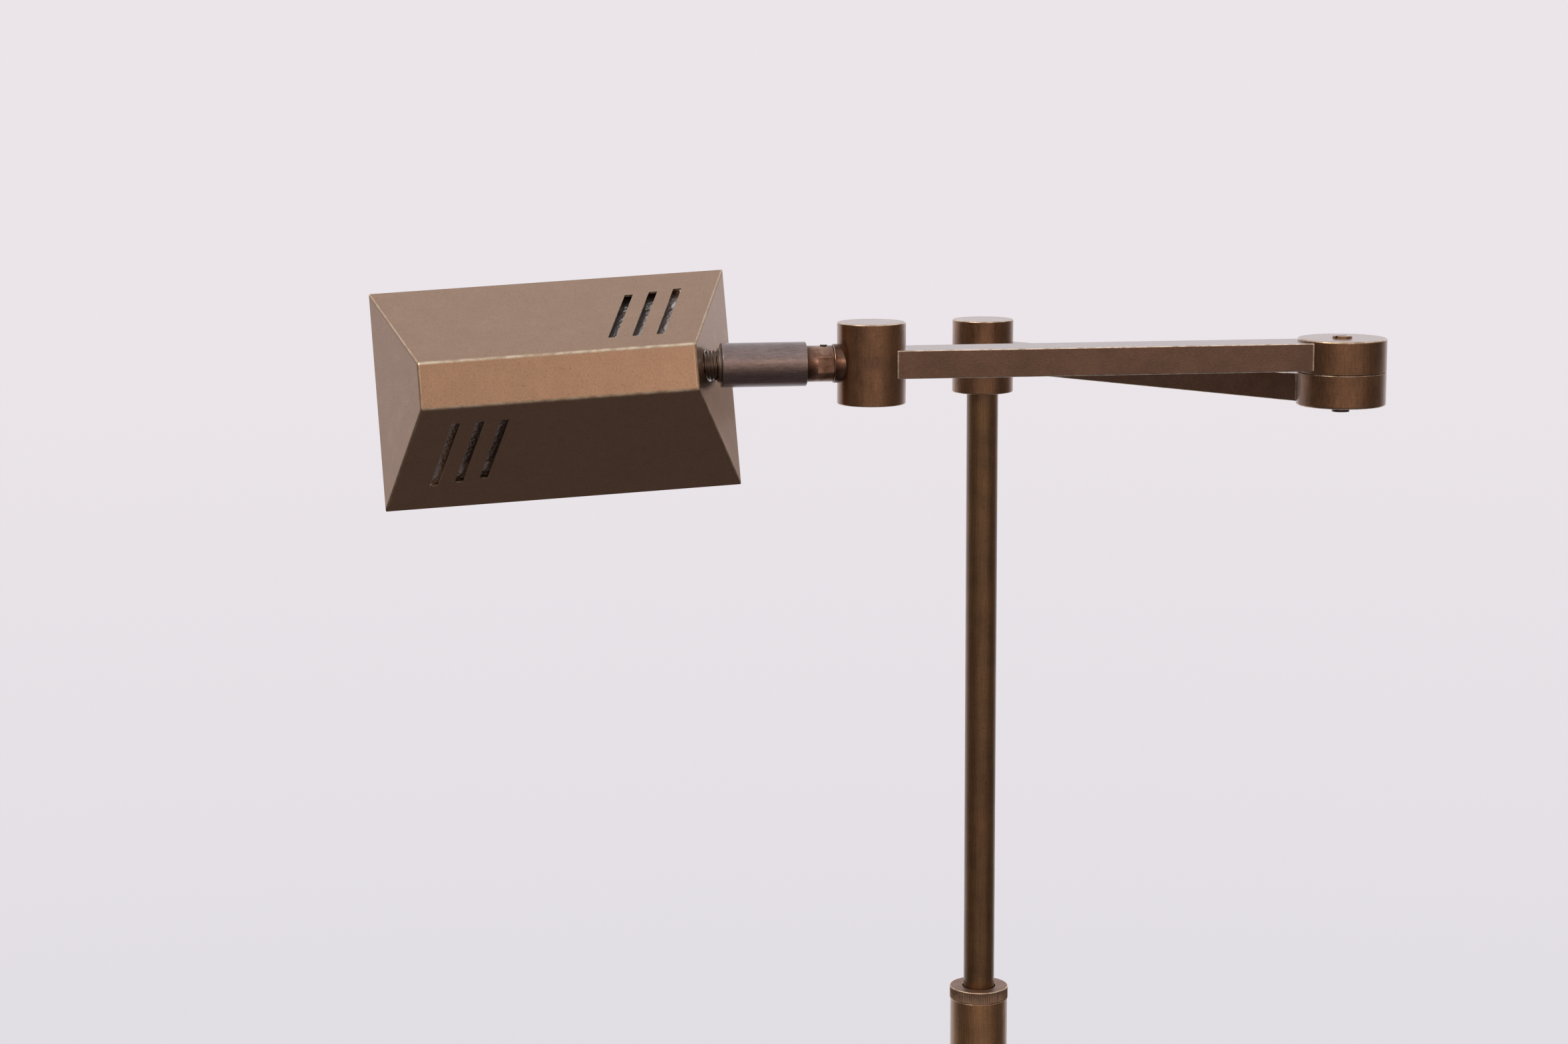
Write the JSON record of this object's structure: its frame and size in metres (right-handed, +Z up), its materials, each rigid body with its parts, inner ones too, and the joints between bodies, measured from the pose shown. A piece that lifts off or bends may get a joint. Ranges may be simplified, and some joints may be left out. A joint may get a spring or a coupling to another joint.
{
  "type": "pharmacy floor lamp",
  "caption": "Floor lamp with a weighted round base, a telescopic pole, a two-part swing arm and a slotted trough-shaped brass shade that turns on its stem.",
  "frame": {"origin": "on the floor, on the axis of the pole", "axes": "+Z up the pole; the upper arm lies along X with the shade towards -X; +Y is the rear, where the supply lead enters the base"},
  "size_m": [0.4335, 0.3118, 1.1631],
  "materials": {
    "aged_brass": "hand-brushed, patinated old bronze, satin",
    "sleeve_bronze": "dark purple-brown patina, satin",
    "dark_screw": "darkened turned brass",
    "raw_brass": "turned, unpolished",
    "zinc_steel": "zinc plated",
    "black_steel": "chemically blackened",
    "cast_iron": "as cast",
    "felt": "pressed wool felt",
    "nylon": "natural nylon",
    "black_rubber": "moulded",
    "fibre": "vulcanised fibre",
    "lead_sheath": "smooth PVC",
    "stucco_aluminium": "hammered, anodised sheet",
    "bakelite": "moulded black thermoset",
    "lamp_cap_metal": "pressed, bright",
    "lamp_glass": "clear glass",
    "filament_glass": "pressed glass stem with filament"
  },
  "bodies": {
    "base": {"base_felt_pad": "felt", "base_weight": "cast_iron", "base_cover": "aged_brass", "cord_inlet_bush": "black_rubber", "base_stud": "zinc_steel", "base_washer": "zinc_steel", "base_nut": "zinc_steel", "base_lead": "lead_sheath", "pole_flange": "aged_brass", "outer_pole": "aged_brass", "pole_foot_plug": "raw_brass", "pole_ferrule": "raw_brass", "clamp_collet": "nylon", "supply_lead": "lead_sheath"},
    "lock_collar": {"lock_collar": "aged_brass"},
    "inner_pole": {"inner_pole": "aged_brass", "pole_guide_sleeve": "nylon", "pole_spindle": "raw_brass", "hub_washer": "raw_brass", "hub_nut": "raw_brass", "pole_lead": "lead_sheath"},
    "lower_arm": {"hub_barrel": "aged_brass", "hub_cap": "aged_brass", "lower_arm": "aged_brass", "elbow_lower_disc": "aged_brass", "elbow_friction_washer": "fibre", "lower_arm_lead": "lead_sheath"},
    "upper_arm": {"elbow_upper_disc": "aged_brass", "elbow_screw": "dark_screw", "elbow_nut": "dark_screw", "upper_arm": "aged_brass", "head_barrel": "aged_brass", "barrel_bottom_cap": "aged_brass", "barrel_top_cap": "aged_brass", "stem_saddle": "aged_brass", "swivel_stem": "aged_brass", "stem_stop_screw": "dark_screw", "stem_washer": "raw_brass", "stem_nut": "raw_brass", "upper_arm_lead": "lead_sheath"},
    "head": {"swivel_sleeve": "sleeve_bronze", "shade_nipple": "aged_brass", "nipple_lock_ring": "aged_brass", "shade_outer_nut": "black_steel", "shade_inner_nut": "black_steel", "head_lead": "lead_sheath", "shade": "aged_brass", "shade_bracket": "black_steel", "reflector": "stucco_aluminium", "reflector_screws": "zinc_steel", "holder_bracket": "black_steel", "holder_nut": "zinc_steel", "lampholder": "bakelite", "lampholder_shell": "raw_brass", "lamp_cap": "lamp_cap_metal", "lamp_glass": "lamp_glass", "lamp_filament_stem": "filament_glass"}
  },
  "joints": [
    {"name": "lock_collar_turn", "type": "hinge", "parent": "base", "child": "lock_collar", "pos_m": [0, 0, 0.797], "axis": [0, 0, 1], "range_deg": [0, 180]},
    {"name": "pole_height", "type": "slide", "parent": "base", "child": "inner_pole", "axis": [0, 0, 1], "range_m": [-0.28, 0.155]},
    {"name": "lower_arm_swing", "type": "hinge", "parent": "inner_pole", "child": "lower_arm", "pos_m": [0, 0, 1.1113], "axis": [0, 0, 1], "range_deg": [-175, 175]},
    {"name": "upper_arm_swing", "type": "hinge", "parent": "lower_arm", "child": "upper_arm", "pos_m": [0.12558, -0.16178, 1.1113], "axis": [0, 0, 1], "range_deg": [-42, 290]},
    {"name": "shade_turn", "type": "hinge", "parent": "upper_arm", "child": "head", "pos_m": [-0.07922, -0.16178, 1.1259], "axis": [-1, 0, 0], "range_deg": [-160, 160]}
  ]
}
